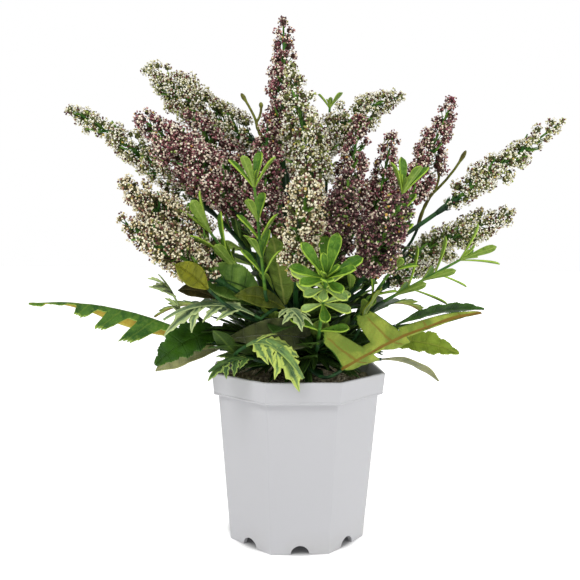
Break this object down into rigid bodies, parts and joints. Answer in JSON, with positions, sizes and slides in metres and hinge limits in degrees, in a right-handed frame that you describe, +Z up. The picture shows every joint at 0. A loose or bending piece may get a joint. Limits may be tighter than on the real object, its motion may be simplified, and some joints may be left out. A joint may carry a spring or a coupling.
{
  "type": "potted lavender-like arrangement of flower spikes and mixed foliage",
  "caption": "Plum and cream flower spikes fanned out over lobed, cut, felted and spoon-shaped leaves, on stems rising from soil in an octagonal plastic pot with a banded rim.",
  "frame": {"origin": "on the floor, under the centre of the pot, which is also the bottom centre of the whole box", "axes": "+Z up along the pot's axis, -Y towards the front that the picture shows, +X to the right"},
  "size_m": [0.349, 0.2093, 0.336],
  "materials": {
    "pot": "satin moulded plastic, cool off-white",
    "soil": "dry crumbly potting mix",
    "stem": "dark green, slightly waxy",
    "purple_floret": "dry papery florets, dusky plum",
    "cream_floret": "dry papery florets, cream with brown flecks",
    "spoon_leaf": "smooth leaf, mid green with yellow-green margin",
    "lobed_leaf": "satin leaf, deep green with ochre ribs",
    "cut_leaf": "satin leaf, blue-green with cream margin",
    "felted_leaf": "felted leaf, olive grey",
    "ovate_leaf": "satin veined leaf, green",
    "twig": "bare olive-brown bark"
  },
  "bodies": {
    "root": {"pot": "pot", "soil": "soil", "stems": "stem", "spike_purple_top": "purple_floret", "spike_purple_left": "purple_floret", "spike_purple_left_upper": "purple_floret", "spike_purple_rear_left": "purple_floret", "spike_purple_centre_left": "purple_floret", "spike_purple_centre_right": "purple_floret", "spike_purple_right_inner": "purple_floret", "spike_purple_right": "purple_floret", "spike_purple_front_right": "purple_floret", "spike_purple_front": "purple_floret", "spike_purple_back_left": "purple_floret", "spike_purple_back_right": "purple_floret", "spike_purple_back_top": "purple_floret", "spike_cream_top": "cream_floret", "spike_cream_upper_left": "cream_floret", "spike_cream_left": "cream_floret", "spike_cream_low_left": "cream_floret", "spike_cream_low_left_second": "cream_floret", "spike_cream_upper_right": "cream_floret", "spike_cream_far_right": "cream_floret", "spike_cream_right": "cream_floret", "spike_cream_front": "cream_floret", "spike_cream_back": "cream_floret", "spike_cream_back_left": "cream_floret", "spike_cream_back_right": "cream_floret", "sprig_front_rosette": "spoon_leaf", "sprig_left_upright": "spoon_leaf", "sprig_left_inner": "spoon_leaf", "sprig_right_long": "spoon_leaf", "sprig_right_upright": "spoon_leaf", "sprig_top": "spoon_leaf", "sprig_right_low": "spoon_leaf", "sprig_back_left": "spoon_leaf", "sprig_back_right": "spoon_leaf", "lobed_leaf_far_left": "lobed_leaf", "lobed_leaf_front_left": "lobed_leaf", "lobed_leaf_front_right": "lobed_leaf", "lobed_leaf_right": "lobed_leaf", "lobed_leaf_back_left": "lobed_leaf", "lobed_leaf_back_right": "lobed_leaf", "cut_leaf_left": "cut_leaf", "cut_leaf_far_left": "cut_leaf", "cut_leaf_front": "cut_leaf", "cut_leaf_front_inner": "cut_leaf", "cut_leaf_low_left": "cut_leaf", "cut_leaf_back": "cut_leaf", "felted_leaf_low_left": "felted_leaf", "felted_leaf_front": "felted_leaf", "felted_leaf_low_right": "felted_leaf", "felted_leaf_back": "felted_leaf", "ovate_leaf_left": "ovate_leaf", "ovate_leaf_centre": "ovate_leaf", "ovate_leaf_right": "ovate_leaf", "ovate_leaf_back_left": "ovate_leaf", "ovate_leaf_back_right": "ovate_leaf", "twig_right": "twig", "twig_left": "twig"}
  },
  "joints": []
}
